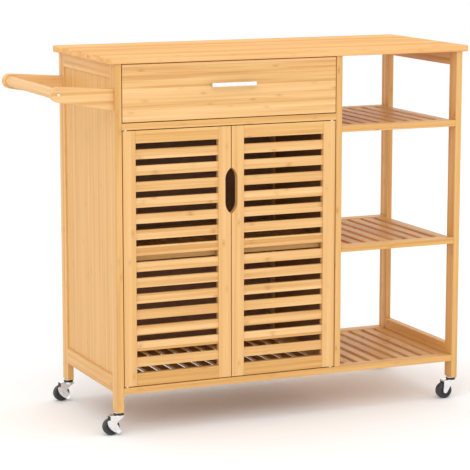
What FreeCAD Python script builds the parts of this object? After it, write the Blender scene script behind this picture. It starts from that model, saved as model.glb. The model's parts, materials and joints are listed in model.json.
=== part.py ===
"""Rolling utility cart: a bamboo kitchen trolley with one drawer, two louvred doors,
an open bay with slatted shelves, a handle bar at the left end and four swivel casters.

Millimetres, +Z up, X along the length, front face towards -Y.
The origin is on the floor, at the centre of the overall length and depth.
"""

import FreeCAD, Part
import math
import os

V = FreeCAD.Vector

# Overall sizes
HEIGHT = 900.0            # floor to the top of the worktop
FRAME_DEPTH = 400.0       # front of the front posts to the back of the rear posts
CABINET_WIDTH = 556.0     # clear width between the left and middle posts
BAY_WIDTH = 316.0         # clear width between the middle and right posts

# Boards
BOARD = 16.0              # thickness of posts, rails, doors and drawer front
POST_DEPTH = 36.0
EDGE_R = 1.2              # softened edges of the boards
PANEL_T = 8.0             # side panel and partition
PANEL_RECESS = 4.5        # panel face behind the outer face of its posts
GROOVE_DEPTH = 5.0
GROOVE_CLEARANCE = 0.1

# Worktop
WORKTOP_T = 15.0
END_OVERHANG = 15.0
FRONT_OVERHANG = 6.0
BACK_OVERHANG = 6.0
WORKTOP_CORNER_R = 8.0
WORKTOP_EDGE_R = 1.6

# Heights
LEG_DROP = 44.0           # leg below the bottom rails
TOP_SIDE_RAIL_H = 35.0
BOTTOM_SIDE_RAIL_H = 41.0
DRAWER_OPENING_H = 139.0
LOWER_BAY_CLEAR = 287.0   # bottom rail to middle shelf
MIDDLE_BAY_CLEAR = 281.0  # middle shelf to upper shelf
INNER_SHELF_RISE = 300.5  # cabinet floor rail to the underside of the inner shelf

# Slatted shelves
FRONT_RAIL_DEPTH = 25.0
REAR_RAIL_DEPTH = 33.0
SLAT_T = 8.0
SLAT_GAP = 14.0
SHELF_SLAT_W = 25.3
FLOOR_SLAT_W = 23.1
SLAT_SIDE_CLEARANCE = 2.0 # end slats to the posts' faces
SLAT_DROP = 1.0           # slat top below the rail top
SLAT_TENON = 9.0
TENON_CLEARANCE = 0.05

# Doors
DOOR_GAP = 2.0
STILE_W = 32.0
DOOR_RAIL_H = 30.0
LOUVRE_H = 23.0
LOUVRE_T = 8.0
LOUVRE_PITCH = 38.0
LOUVRE_TENON = 5.0
GRIP_H = 112.0            # finger cut-out between the doors
GRIP_STRAIGHT = 55.0
GRIP_DEPTH = 15.0
GRIP_BELOW_TOP = 155.5    # its middle below the top of the door
PIVOT_R = 2.5
PIVOT_INSET = 8.0         # pivot axis from the hinge edge
PIVOT_SETBACK = 5.5       # pivot axis behind the front face
PIVOT_IN_DOOR = 15.0
PIVOT_IN_RAIL = 10.0
PIVOT_END_ROOM = 0.5      # bore deeper than the pin
PIVOT_COLLAR_ROOM = 0.15  # collar to the rail
PIVOT_CLEARANCE = 0.06
PIVOT_COLLAR_R = 4.5
DRAWER_RAIL_DEPTH = 40.0

# Dowels in the frame joints
DOWEL_R = 3.0
DOWEL_HALF = 8.0
DOWEL_FROM_FACE = 11.0    # axis behind the front face or inside the back face
DOWEL_CLEARANCE = 0.05

# Magnetic catches
CATCH_W, CATCH_D, CATCH_H = 30.0, 14.0, 11.0
CATCH_FROM_MIDDLE = 26.0
STRIKE_R = 6.0
STRIKE_T = 1.5
CATCH_CLEARANCE = 0.4

# Back panel and inner shelf
BACK_T = 4.0
BACK_SETBACK = 11.0       # back panel face inside the back of the posts
INNER_SHELF_SETBACK = 6.0 # its front edge behind the doors
INNER_SHELF_CLEARANCE = 2.0
SHELF_PIN_R = 2.5
SHELF_PIN_IN_POST = 9.0
SHELF_PIN_OUT = 9.0
SHELF_PIN_INSET = 8.0     # from the post's inner edge
SHELF_PIN_CLEARANCE = 0.05

# Drawer
DRAWER_SIDE_T = 12.0
DRAWER_SIDE_H = 100.0
DRAWER_BACK_CLEARANCE = 25.0
DRAWER_SIDE_RISE = 14.0   # sides above the foot of the drawer front
DRAWER_BOTTOM_T = 4.0
DRAWER_BOTTOM_RISE = 10.0
RUNNER_W = 12.7
RUNNER_H = 35.0
RUNNER_SHEET = 1.2
OUTER_RUNNER_W = 9.2      # channel on the cabinet, from its side
INNER_RUNNER_W = 8.4      # channel on the drawer, from its side
RUNNER_FRONT = 20.0       # runner's front end behind the front of the posts
RUNNER_BACK_CLEARANCE = 5.0
RUNNER_RISE = 52.0        # runner's middle above the drawer rail
INNER_RUNNER_H = 22.0
INNER_RUNNER_SHORTER = 22.0
CAGE_SHEET = 0.8
CAGE_LENGTH = 66.0
CAGE_END_GAP = 1.0        # cage inside the runner's ends at full travel
CAGE_OFF_RUNNER = 0.6     # cage's web to the outer channel
CAGE_RIM = 0.6            # cage beyond the balls
CAGE_BALLS = 5
BALL_CLEARANCE = 0.12

# Drawer pull
PULL_LENGTH = 114.0
PULL_CENTRES = 96.0
PULL_LEG_W = 10.0
PULL_PROUD = 20.0
PULL_H = 9.6
PULL_BAR_T = 6.0
PULL_BELOW_TOP = 54.0     # its middle below the top of the drawer front
PULL_EDGE_R = 1.0
PULL_SCREW_R = 2.0
PULL_SCREW_IN_LEG = 11.0
PULL_SCREW_CLEARANCE = 0.05
SCREW_HEAD_R = 4.0
SCREW_HEAD_H = 2.2

# Handle at the left end
ARM_REACH = 133.8         # bar axis from the outer face of the left posts
ARM_NOSE_R = 18.0
ARM_FOOT_H = 50.5
ARM_BELOW_TOP = 58.5      # top of the arm's foot below the worktop
BAR_BELOW_FOOT_TOP = 8.5  # bar axis below the top of the foot
BAR_R = 12.5
BAR_SOCKET = 3.0
BAR_CLEARANCE = 0.1
HANDLE_SCREW_R = 2.0
HANDLE_SCREW_LENGTH = 40.0
HANDLE_SCREW_HEAD_R = 3.4
HANDLE_SCREW_SEAT_ROOM = 0.6  # countersink wider than the head
HANDLE_SCREW_HEAD_H = 2.4
HANDLE_SCREW_SLOT_W = 1.0
HANDLE_SCREW_SLOT_L = 4.4
HANDLE_SCREW_SLOT_D = 1.2
SCREW_CLEARANCE = 0.1

# Casters
WHEEL_R = 20.0
WHEEL_W = 18.0
WHEEL_TREAD_R = 3.5       # rounding of the tread's edges
WHEEL_RECESS = 2.0
WHEEL_RIM = 5.5           # recess inside the tread
HUB_R = 7.0
HUB_BORE_WALL = 3.0
HUB_CLEARANCE = 0.3
CASTER_TRAIL = 20.0
AXLE_R = 2.5
AXLE_CLEARANCE = 0.06
AXLE_HEAD_R = 4.6
AXLE_HEAD_T = 1.4
FORK_SHEET = 1.8
FORK_GAP = 1.0            # wheel to fork leg
CROWN_R = 15.0
RACE_CLEARANCE = 0.2      # crown to the fixed races above and below it
WHEEL_HEADROOM = 6.0      # top of the wheel to the crown
CROWN_DROP = 6.7          # crown's top below the foot of the leg
CROWN_SKIRT = 3.0
CROWN_EDGE_R = 1.4
FORK_BOSS_R = 6.0
FORK_BEND_R = 2.4
HOOD_BEYOND_AXLE = 3.5    # top of the fork's rear edge behind the axle
KNEE_BEYOND_AXLE = 16.0   # where the leg's front edge turns steeper
KNEE_DROP = 13.0
STEM_R = 4.0
STEM_LENGTH = 20.0
STEM_CLEARANCE = 0.08
STEM_FLANGE_R = 11.0
STEM_FLANGE_T = 2.0
STEM_COLLAR_R = 8.0
STEM_RIVET_R = 6.5
STEM_RIVET_T = 2.0
INSERT_R = 5.8
BRAKE_SHEET = 1.5
BRAKE_CLEARANCE = 0.3
BRAKE_LENGTH = 39.0
BRAKE_WIDTH = 19.0
BRAKE_OFFSET = 2.6        # middle of the plate up and forward of the axle
BRAKE_ANGLE = -46.0       # of the plate's long axis, from +X
BRAKE_TAB = 8.5           # how far the foot tab stands out
BRAKE_TAB_LENGTH = 5.0
BRAKE_TAB_W = 10.0

# Places worked out from the sizes
frame_length = 3 * BOARD + CABINET_WIDTH + BAY_WIDTH
x_left = (ARM_REACH + ARM_NOSE_R - frame_length - END_OVERHANG) / 2
x_middle = x_left + BOARD + CABINET_WIDTH
x_right = x_middle + BOARD + BAY_WIDTH
x_end = x_right + BOARD
y_front = (PULL_PROUD - FRAME_DEPTH - BACK_OVERHANG) / 2
y_back = y_front + FRAME_DEPTH
y_rear_post = y_back - POST_DEPTH
y_rear_rail = y_back - REAR_RAIL_DEPTH
y_slats = y_front + FRONT_RAIL_DEPTH
z_leg = 2 * WHEEL_R + WHEEL_HEADROOM + FORK_SHEET + CROWN_DROP
z_rail = z_leg + LEG_DROP
z_floor = z_rail + BOARD
z_under_top = HEIGHT - WORKTOP_T
z_drawer = z_under_top - DRAWER_OPENING_H
z_door_top = z_drawer - BOARD
z_middle_shelf = z_floor + LOWER_BAY_CLEAR
z_upper_shelf = z_middle_shelf + BOARD + MIDDLE_BAY_CLEAR
z_inner_shelf = z_floor + INNER_SHELF_RISE
x_cabinet = x_left + BOARD
x_bay = x_middle + BOARD
x_cabinet_mid = x_cabinet + CABINET_WIDTH / 2
y_back_panel = y_back - BACK_SETBACK - BACK_T

door_width = (CABINET_WIDTH - 3 * DOOR_GAP) / 2
z_door = z_floor + DOOR_GAP
door_height = z_door_top - z_floor - 2 * DOOR_GAP
inner_depth = FRAME_DEPTH - BACK_SETBACK - BACK_T
drawer_box_depth = inner_depth - BOARD - DRAWER_BACK_CLEARANCE
runner_length = inner_depth - RUNNER_FRONT - RUNNER_BACK_CLEARANCE
inner_runner_length = runner_length - INNER_RUNNER_SHORTER
drawer_travel = inner_runner_length - CAGE_LENGTH - 2 * CAGE_END_GAP
z_grip = z_door + door_height - GRIP_BELOW_TOP

parts = {}


def box(x0, y0, z0, x1, y1, z1):
    """A plain block between two corners."""
    return Part.makeBox(x1 - x0, y1 - y0, z1 - z0, V(x0, y0, z0))


def board(x0, y0, z0, x1, y1, z1, radius=EDGE_R):
    """A block with every edge softened."""
    solid = box(x0, y0, z0, x1, y1, z1)
    return solid.makeFillet(radius, solid.Edges)


def slat(x0, y0, z0, x1, y1, z1, axis, radius=1.0):
    """A block whose edges along one axis are softened."""
    solid = box(x0, y0, z0, x1, y1, z1)
    along = [e for e in solid.Edges if abs(e.tangentAt(e.FirstParameter).dot(axis)) > 0.99]
    return solid.makeFillet(radius, along)


def rod(x, y, z, radius, length, axis=V(0, 0, 1)):
    """A cylinder from a point along an axis."""
    return Part.makeCylinder(radius, length, V(x, y, z), axis)


def fuse(first, *others):
    """One clean solid from several that touch or overlap."""
    return first.fuse(list(others)).removeSplitter()


def group(solids):
    """Separate solids that share one node."""
    return Part.makeCompound(list(solids))


def cut_all(solid, tools):
    """The solid with each tool cut from it."""
    return solid.cut(list(tools))


def evened(opening, width, pitch):
    """How many slats fit an opening near the pitch, and the gap between them."""
    count = max(1, round((opening - (pitch - width)) / pitch))
    return count, (opening - count * width) / (count + 1)


def dowel_places():
    """Middle and direction of every dowel: rails into posts, posts into rails and worktop."""
    along_x, along_y, along_z = V(1, 0, 0), V(0, 1, 0), V(0, 0, 1)
    y_near, y_far = y_front + DOWEL_FROM_FACE, y_back - DOWEL_FROM_FACE
    rails = [(x_cabinet, z_rail), (x_right, z_rail), (x_bay, z_middle_shelf), (x_right, z_middle_shelf),
             (x_bay, z_upper_shelf), (x_right, z_upper_shelf)]
    places = [(V(x, y, z + BOARD / 2), along_x) for x, z in rails for y in (y_near, y_far)]
    places += [(V(x, y_near, z_door_top + BOARD / 2), along_x) for x in (x_cabinet, x_middle)]
    z_top_rail = z_under_top - TOP_SIDE_RAIL_H / 2
    places += [(V(x, y_back - BOARD / 2, z_top_rail), along_x) for x in (x_cabinet, x_middle)]
    for x in (x_left, x_middle, x_right):
        foot = z_floor - SLAT_DROP if x == x_middle else z_rail
        z_low_rail = (foot + z_rail + BOTTOM_SIDE_RAIL_H) / 2
        for y in (y_front + POST_DEPTH, y_rear_post):
            places += [(V(x + BOARD / 2, y, z), along_y) for z in (z_top_rail, z_low_rail)]
        for y in (y_front + POST_DEPTH / 2, y_back - POST_DEPTH / 2):
            places.append((V(x + BOARD / 2, y, z_under_top), along_z))
    places += [(V(x_middle + BOARD / 2, y, z_floor), along_z) for y in (y_near, y_far)]
    return places


def dowels(clearance=0.0):
    """The dowels, or with a clearance the holes they sit in."""
    radius, half = DOWEL_R + clearance, DOWEL_HALF + 4 * clearance
    return [Part.makeCylinder(radius, 2 * half, middle - axis * half, axis)
            for middle, axis in dowel_places()]


def worktop():
    x0, x1 = x_left - END_OVERHANG, x_end + END_OVERHANG
    y0, y1 = y_front - FRONT_OVERHANG, y_back + BACK_OVERHANG
    slab = box(x0, y0, z_under_top, x1, y1, HEIGHT)
    upright = [e for e in slab.Edges if abs(e.tangentAt(e.FirstParameter).z) > 0.99]
    slab = slab.makeFillet(WORKTOP_CORNER_R, upright)
    rims = [e for e in slab.Edges if e.BoundBox.ZLength < 0.01]
    return cut_all(slab.makeFillet(WORKTOP_EDGE_R, rims), dowels(DOWEL_CLEARANCE))


def side_panel(x_post, y0, y1):
    """A thin panel held in grooves between two posts and two rails."""
    x0 = x_post + PANEL_RECESS
    top = z_under_top - TOP_SIDE_RAIL_H + GROOVE_DEPTH
    bottom = z_rail + BOTTOM_SIDE_RAIL_H - GROOVE_DEPTH
    return box(x0, y0 - GROOVE_DEPTH, bottom, x0 + PANEL_T, y1 + GROOVE_DEPTH, top)


def grown(solid, by):
    """The block that holds a panel's groove, a little larger than the panel."""
    b = solid.BoundBox
    return box(b.XMin - by, b.YMin - by, b.ZMin - by, b.XMax + by, b.YMax + by, b.ZMax + by)


def back_panel():
    top = z_under_top - TOP_SIDE_RAIL_H + GROOVE_DEPTH
    return box(x_cabinet - GROOVE_DEPTH, y_back_panel, z_floor - GROOVE_DEPTH,
               x_middle + GROOVE_DEPTH, y_back_panel + BACK_T, top)


def side_rails(x_post, foot):
    """Top and bottom rails between a front and a rear post."""
    y0, y1 = y_front + POST_DEPTH, y_rear_post
    return [board(x_post, y0, z_under_top - TOP_SIDE_RAIL_H, x_post + BOARD, y1, z_under_top),
            board(x_post, y0, foot, x_post + BOARD, y1, z_rail + BOTTOM_SIDE_RAIL_H)]


def slatted(x0, x1, slat_w, z_top, y0=y_slats, y1=y_rear_rail):
    """Slats from a front rail that ends at y0 to a rear rail that starts at y1; the end ones are wider."""
    left, right = x0 + SLAT_SIDE_CLEARANCE, x1 - SLAT_SIDE_CLEARANCE
    pitch = slat_w + SLAT_GAP
    gaps = math.floor((right - left - slat_w) / pitch)
    first_gap = (x0 + x1 - (gaps - 1) * pitch - SLAT_GAP) / 2
    starts = [left] + [first_gap + SLAT_GAP + i * pitch for i in range(gaps)]
    ends = [first_gap + i * pitch for i in range(gaps)] + [right]
    top = z_top - SLAT_DROP
    return [slat(a, y0 - SLAT_TENON, top - SLAT_T, b, y1 + SLAT_TENON, top, V(0, 1, 0))
            for a, b in zip(starts, ends)]


def shelf_rails(x0, x1, z0):
    """Front and rear rails of a slatted shelf."""
    return [board(x0, y_front, z0, x1, y_slats, z0 + BOARD),
            board(x0, y_rear_rail, z0, x1, y_back, z0 + BOARD)]


def inner_shelf():
    """Loose slatted shelf inside the cabinet: its two rails and its slats."""
    x0, x1 = x_cabinet + INNER_SHELF_CLEARANCE, x_middle - INNER_SHELF_CLEARANCE
    y0 = y_front + BOARD + INNER_SHELF_SETBACK
    y1 = y_back_panel - INNER_SHELF_CLEARANCE
    z0, z1 = z_inner_shelf, z_inner_shelf + BOARD
    slats = slatted(x0, x1, SHELF_SLAT_W, z1, y0 + FRONT_RAIL_DEPTH, y1 - REAR_RAIL_DEPTH)
    mortises = [grown(s, TENON_CLEARANCE) for s in slats]
    rails = [board(x0, y0, z0, x1, y0 + FRONT_RAIL_DEPTH, z1),
             board(x0, y1 - REAR_RAIL_DEPTH, z0, x1, y1, z1)]
    return [cut_all(r, mortises) for r in rails], slats


def caster_centres():
    """Swivel axes: the middles of the four outer posts' sections."""
    xs = {"left": x_left + BOARD / 2, "right": x_right + BOARD / 2}
    ys = {"front": y_front + POST_DEPTH / 2, "rear": y_back - POST_DEPTH / 2}
    return {f"{fb}_{lr}": (xs[lr], ys[fb]) for fb in ys for lr in xs}


def caster_insert(x, y):
    """Threaded insert in the end of a leg."""
    body = rod(x, y, z_leg, INSERT_R, STEM_LENGTH)
    return body.cut(rod(x, y, z_leg - 1, STEM_R + STEM_CLEARANCE, STEM_LENGTH + 2))


def caster_stem(x, y):
    """Fixed stem: threaded rod, flange under the leg, upper race and rivet head below the crown."""
    crown_top = z_leg - CROWN_DROP
    crown_foot = crown_top - FORK_SHEET
    rivet_top = crown_foot - RACE_CLEARANCE
    shaft = rod(x, y, rivet_top - STEM_RIVET_T, STEM_R, z_leg + STEM_LENGTH - 1 - rivet_top + STEM_RIVET_T)
    rivet = rod(x, y, rivet_top - STEM_RIVET_T, STEM_RIVET_R, STEM_RIVET_T)
    flange = rod(x, y, z_leg - STEM_FLANGE_T, STEM_FLANGE_R, STEM_FLANGE_T)
    collar_foot = crown_top + RACE_CLEARANCE
    collar = rod(x, y, collar_foot, STEM_COLLAR_R, z_leg - STEM_FLANGE_T - collar_foot)
    return fuse(shaft, rivet, flange, collar)


def tangent_point(px, pz, cx, cz, radius, side):
    """Where the line from a point touches a circle, on its upper (1) or lower (-1) side."""
    dx, dz = px - cx, pz - cz
    turn = math.atan2(dz, dx) + side * math.acos(radius / math.hypot(dx, dz))
    return V(cx + radius * math.cos(turn), 0, cz + radius * math.sin(turn))


def outline_prism(points, arcs, y0, y1):
    """A closed XZ outline made solid along Y. Points named in arcs are the middles of arcs."""
    edges, i, count = [], 0, len(points)
    while i < count:
        near, far = points[(i + 1) % count], points[(i + 2) % count]
        if (i + 1) % count in arcs:
            edges.append(Part.Arc(points[i], near, far).toShape())
            i += 2
        else:
            edges.append(Part.LineSegment(points[i], near).toShape())
            i += 1
    prism = Part.Face(Part.Wire(edges)).extrude(V(0, y1 - y0, 0))
    prism.translate(V(0, y0, 0))
    return prism


def caster_fork(x, y, braked):
    """Stamped fork that swivels on the stem, with the axle riveted through its legs."""
    axle_x, z_top = x - CASTER_TRAIL, z_leg - CROWN_DROP
    inside = WHEEL_W / 2 + FORK_GAP
    outside = inside + FORK_SHEET
    rear, reach = axle_x - HOOD_BEYOND_AXLE, math.sqrt(CROWN_R ** 2 - outside ** 2)
    blank = axle_x - 2 * FORK_BOSS_R
    channel = box(blank, y - outside, 0, x + CROWN_R, y + outside, z_top)
    bends = [e for e in channel.Edges if e.BoundBox.XLength > CROWN_R and e.BoundBox.ZMin > z_top - 1]
    channel = channel.makeFillet(FORK_BEND_R, bends)
    hollow = box(blank - 1, y - inside, -1, x + CROWN_R + 1, y + inside, z_top - FORK_SHEET)
    knee = V(axle_x + KNEE_BEYOND_AXLE, 0, z_top - KNEE_DROP)
    boss_front = tangent_point(knee.x, knee.z, axle_x, WHEEL_R, FORK_BOSS_R, -1)
    boss_rear = tangent_point(rear, z_top, axle_x, WHEEL_R, FORK_BOSS_R, 1)
    outline = [V(rear, 0, z_top), V(x + reach, 0, z_top), V(x + reach, 0, z_top - FORK_SHEET - CROWN_SKIRT),
               knee, boss_front, V(axle_x, 0, WHEEL_R - FORK_BOSS_R), boss_rear]
    channel = channel.cut(hollow).common(outline_prism(outline, (5,), y - CROWN_R, y + CROWN_R))
    crown = rod(x, y, z_top - FORK_SHEET - CROWN_SKIRT, CROWN_R, FORK_SHEET + CROWN_SKIRT)
    rims = [e for e in crown.Edges if e.BoundBox.ZLength < 0.01 and e.BoundBox.ZMin > z_top - 1]
    crown = crown.makeFillet(CROWN_EDGE_R, rims)
    crown = crown.cut(rod(x, y, 0, CROWN_R - FORK_SHEET, z_top - FORK_SHEET))
    # the crown's skirt is open on the wheel side
    crown = crown.cut(box(x - CROWN_R - 1, y - inside, 0, x, y + inside, z_top - FORK_SHEET))
    fork = fuse(crown, channel)
    fork = fork.cut(rod(x, y, 0, STEM_R + STEM_CLEARANCE, HEIGHT))
    fork = fork.cut(rod(axle_x, y - CROWN_R, WHEEL_R, AXLE_R, 2 * CROWN_R, V(0, 1, 0)))
    return [fork, caster_axle(axle_x, y, braked)]


def caster_axle(axle_x, y, braked):
    """Rivet through both fork legs; on a braked caster it stands out to carry the brake plate."""
    half = WHEEL_W / 2 + FORK_GAP + FORK_SHEET
    stand_out = BRAKE_SHEET + 2 * BRAKE_CLEARANCE if braked else 0
    y0, y1 = y - half - stand_out, y + half
    pin = rod(axle_x, y0, WHEEL_R, AXLE_R, y1 - y0, V(0, 1, 0))
    heads = [rod(axle_x, y_head, WHEEL_R, AXLE_HEAD_R, AXLE_HEAD_T, V(0, 1, 0))
             for y_head in (y0 - AXLE_HEAD_T, y1)]
    domed = [head.makeFillet(AXLE_HEAD_T * 0.6, [head.Edges[i]]) for head, i in zip(heads, (2, 0))]
    return fuse(pin, *domed)


def caster_wheel(x, y):
    """Solid wheel with rounded tread, recessed faces and a hub that spaces it from the fork."""
    axle_x, half = x - CASTER_TRAIL, WHEEL_W / 2
    tyre = rod(axle_x, y - half, WHEEL_R, WHEEL_R, WHEEL_W, V(0, 1, 0))
    rims = [e for e in tyre.Edges if e.BoundBox.YLength < 0.01]
    tyre = tyre.makeFillet(WHEEL_TREAD_R, rims)
    for y_face, way in ((y - half, 1), (y + half, -1)):
        start = y_face - way
        ring = rod(axle_x, start, WHEEL_R, WHEEL_R - WHEEL_RIM, 1 + WHEEL_RECESS, V(0, way, 0))
        tyre = tyre.cut(ring.cut(rod(axle_x, start, WHEEL_R, HUB_R, 1 + WHEEL_RECESS, V(0, way, 0))))
    hub_half = half + FORK_GAP - HUB_CLEARANCE
    hub = rod(axle_x, y - hub_half, WHEEL_R, AXLE_R + HUB_BORE_WALL, 2 * hub_half, V(0, 1, 0))
    bore = rod(axle_x, y - WHEEL_W, WHEEL_R, AXLE_R + AXLE_CLEARANCE, 2 * WHEEL_W, V(0, 1, 0))
    return fuse(tyre, hub).cut(bore)


def caster_brake(x, y):
    """Side brake: an oval plate on the axle's front end, with a foot tab at its low end."""
    axle_x = x - CASTER_TRAIL
    y_plate = y - WHEEL_W / 2 - FORK_GAP - FORK_SHEET - BRAKE_CLEARANCE - BRAKE_SHEET
    half_l, half_w = BRAKE_LENGTH / 2, BRAKE_WIDTH / 2
    oval = Part.Ellipse(V(0, 0, 0), half_l, half_w).toShape()
    plate = Part.Face(Part.Wire([oval])).extrude(V(0, 0, BRAKE_SHEET))
    tab = box(half_l - BRAKE_TAB_LENGTH, -BRAKE_TAB_W / 2, 0, half_l, BRAKE_TAB_W / 2, BRAKE_TAB)
    tab = tab.cut(box(half_l - BRAKE_TAB_LENGTH - 1, -BRAKE_TAB_W, BRAKE_SHEET,
                      half_l - BRAKE_SHEET, BRAKE_TAB_W, BRAKE_TAB + 1))
    plate = fuse(plate, tab)
    plate.rotate(V(0, 0, 0), V(0, 0, 1), BRAKE_ANGLE)
    plate.rotate(V(0, 0, 0), V(1, 0, 0), 90)
    plate.translate(V(axle_x + BRAKE_OFFSET, y_plate + BRAKE_SHEET, WHEEL_R + BRAKE_OFFSET))
    return plate.cut(rod(axle_x, y - 2 * WHEEL_W, WHEEL_R, AXLE_R + AXLE_CLEARANCE, 2 * WHEEL_W, V(0, 1, 0)))


def handle_places():
    """Bar axis and the foot's top and bottom heights."""
    z1 = z_under_top - ARM_BELOW_TOP
    return x_left - ARM_REACH, z1 - BAR_BELOW_FOOT_TOP, z1 - ARM_FOOT_H, z1


def handle_arm(y0, inner_side):
    """Tapered arm screwed to a left post, with a rounded nose that holds the bar's end."""
    bar_x, bar_z, z0, z1 = handle_places()
    outline = [V(x_left, 0, z1), tangent_point(x_left, z1, bar_x, bar_z, ARM_NOSE_R, 1),
               V(bar_x - ARM_NOSE_R, 0, bar_z), tangent_point(x_left, z0, bar_x, bar_z, ARM_NOSE_R, -1),
               V(x_left, 0, z0)]
    arm = outline_prism(outline, (2,), y0, y0 + BOARD)
    rims = [e for e in arm.Edges if e.BoundBox.YLength < 0.01 and e.BoundBox.XLength > 1]
    arm = arm.makeFillet(EDGE_R, rims)
    socket_y = y0 + BOARD - BAR_SOCKET if inner_side > 0 else y0
    return arm.cut(rod(bar_x, socket_y, bar_z, BAR_R + BAR_CLEARANCE, BAR_SOCKET, V(0, 1, 0)))


def handle_screw(y_face, way):
    """Countersunk screw through an arm into the end of the bar."""
    bar_x, bar_z = handle_places()[:2]
    shank = rod(bar_x, y_face, bar_z, HANDLE_SCREW_R, HANDLE_SCREW_LENGTH, V(0, way, 0))
    head = Part.makeCone(HANDLE_SCREW_HEAD_R, HANDLE_SCREW_R, HANDLE_SCREW_HEAD_H,
                         V(bar_x, y_face, bar_z), V(0, way, 0))
    screw = fuse(shank, head)
    y0, y1 = sorted((y_face - way, y_face + way * HANDLE_SCREW_SLOT_D))
    short, long = HANDLE_SCREW_SLOT_W / 2, HANDLE_SCREW_SLOT_L / 2
    return cut_all(screw, [box(bar_x - a, y0, bar_z - b, bar_x + a, y1, bar_z + b)
                           for a, b in ((short, long), (long, short))])


def handle_screw_hole(y_face, way):
    """Clearance for a handle screw in the arm and the bar."""
    bar_x, bar_z = handle_places()[:2]
    c = SCREW_CLEARANCE
    shank = rod(bar_x, y_face, bar_z, HANDLE_SCREW_R + c, HANDLE_SCREW_LENGTH + c, V(0, way, 0))
    seat = Part.makeCone(HANDLE_SCREW_HEAD_R + HANDLE_SCREW_SEAT_ROOM, HANDLE_SCREW_R + c,
                         HANDLE_SCREW_HEAD_H + HANDLE_SCREW_SEAT_ROOM, V(bar_x, y_face, bar_z), V(0, way, 0))
    return fuse(shank, seat)


def door(x_hinge, way):
    """One louvred door. way is +1 for the left door, whose hinge edge is its left one."""
    x0, x1 = sorted((x_hinge, x_hinge + way * door_width))
    y0, y1 = y_front, y_front + BOARD
    z0, z1 = z_door, z_door + door_height
    stiles = [board(x0, y0, z0, x0 + STILE_W, y1, z1), board(x1 - STILE_W, y0, z0, x1, y1, z1)]
    rails = [board(x0 + STILE_W, y0, z0, x1 - STILE_W, y1, z0 + DOOR_RAIL_H),
             board(x0 + STILE_W, y0, z1 - DOOR_RAIL_H, x1 - STILE_W, y1, z1)]
    opening = door_height - 2 * DOOR_RAIL_H
    count, gap = evened(opening, LOUVRE_H, LOUVRE_PITCH)
    y_slat = y_front + (BOARD - LOUVRE_T) / 2
    louvres, mortises = [], []
    for i in range(count):
        z = z0 + DOOR_RAIL_H + gap + i * (LOUVRE_H + gap)
        ends = (x0 + STILE_W - LOUVRE_TENON, x1 - STILE_W + LOUVRE_TENON)
        louvres.append(slat(ends[0], y_slat, z, ends[1], y_slat + LOUVRE_T, z + LOUVRE_H, V(1, 0, 0)))
        mortises.append(grown(louvres[-1], TENON_CLEARANCE))
    stiles = [cut_all(s, mortises) for s in stiles]
    free = 1 if way > 0 else 0
    stiles[free] = stiles[free].cut(grip_cutter(x_hinge + way * door_width, way))
    pivot_x, pivot_y = x_hinge + way * PIVOT_INSET, y_front + PIVOT_SETBACK
    deep = 1 + PIVOT_IN_DOOR + PIVOT_END_ROOM
    bores = [rod(pivot_x, pivot_y, z - up, PIVOT_R + PIVOT_CLEARANCE, deep, V(0, 0, up))
             for z, up in ((z0, 1), (z1, -1))]
    stiles[1 - free] = cut_all(stiles[1 - free], bores)
    strike = rod(x_cabinet_mid - way * CATCH_FROM_MIDDLE, y1, z_door_top - CATCH_H / 2 - 1,
                 STRIKE_R, STRIKE_T, V(0, 1, 0))
    return stiles, rails, louvres, [pivot_pin(pivot_x, z0, -1), pivot_pin(pivot_x, z1, 1), strike]


def grip_cutter(x_free, way):
    """Half of the eye-shaped finger cut-out, taken from a door's free stile."""
    deep = x_free - way * GRIP_DEPTH
    out = x_free + way * 3
    straight, half = GRIP_STRAIGHT / 2, GRIP_H / 2
    rise = half - straight
    radius = (GRIP_DEPTH ** 2 + rise ** 2) / (2 * GRIP_DEPTH)
    bend = math.asin(rise / radius) / 2
    mid_x = deep + way * radius * (1 - math.cos(bend))
    mid_z = straight + radius * math.sin(bend)
    p = [V(out, 0, half), V(x_free, 0, half), V(mid_x, 0, mid_z), V(deep, 0, straight),
         V(deep, 0, -straight), V(mid_x, 0, -mid_z), V(x_free, 0, -half), V(out, 0, -half)]
    wire = Part.Wire([Part.LineSegment(p[0], p[1]).toShape(), Part.Arc(p[1], p[2], p[3]).toShape(),
                      Part.LineSegment(p[3], p[4]).toShape(), Part.Arc(p[4], p[5], p[6]).toShape(),
                      Part.LineSegment(p[6], p[7]).toShape(), Part.LineSegment(p[7], p[0]).toShape()])
    cutter = Part.Face(wire).extrude(V(0, BOARD + 4, 0))
    cutter.translate(V(0, y_front - 2, z_grip))
    return cutter


def pivot_pin(x, z, up):
    """Pivot pin with a collar that fills the gap between door and rail."""
    y = y_front + PIVOT_SETBACK
    start = z - up * PIVOT_IN_DOOR
    pin = rod(x, y, start, PIVOT_R, PIVOT_IN_DOOR + DOOR_GAP + PIVOT_IN_RAIL, V(0, 0, up))
    collar = rod(x, y, z, PIVOT_COLLAR_R, DOOR_GAP - PIVOT_COLLAR_ROOM, V(0, 0, up))
    return fuse(pin, collar)


def pivot_hole(x, z, up):
    """Bore for a pivot pin in the rail above or below the door."""
    y = y_front + PIVOT_SETBACK
    return rod(x, y, z, PIVOT_R + PIVOT_CLEARANCE, PIVOT_IN_RAIL + PIVOT_END_ROOM, V(0, 0, up))


def runner_outer(x_face, way):
    """Cabinet half of a ball runner: a channel that opens towards the drawer."""
    y0, z0 = y_front + RUNNER_FRONT, z_drawer + RUNNER_RISE - RUNNER_H / 2
    x0, x1 = sorted((x_face, x_face + way * OUTER_RUNNER_W))
    channel = box(x0, y0, z0, x1, y0 + runner_length, z0 + RUNNER_H)
    a, b = sorted((x_face + way * RUNNER_SHEET, x_face + way * (OUTER_RUNNER_W + 1)))
    return channel.cut(box(a, y0 - 1, z0 + RUNNER_SHEET,
                           b, y0 + runner_length + 1, z0 + RUNNER_H - RUNNER_SHEET))


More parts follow.
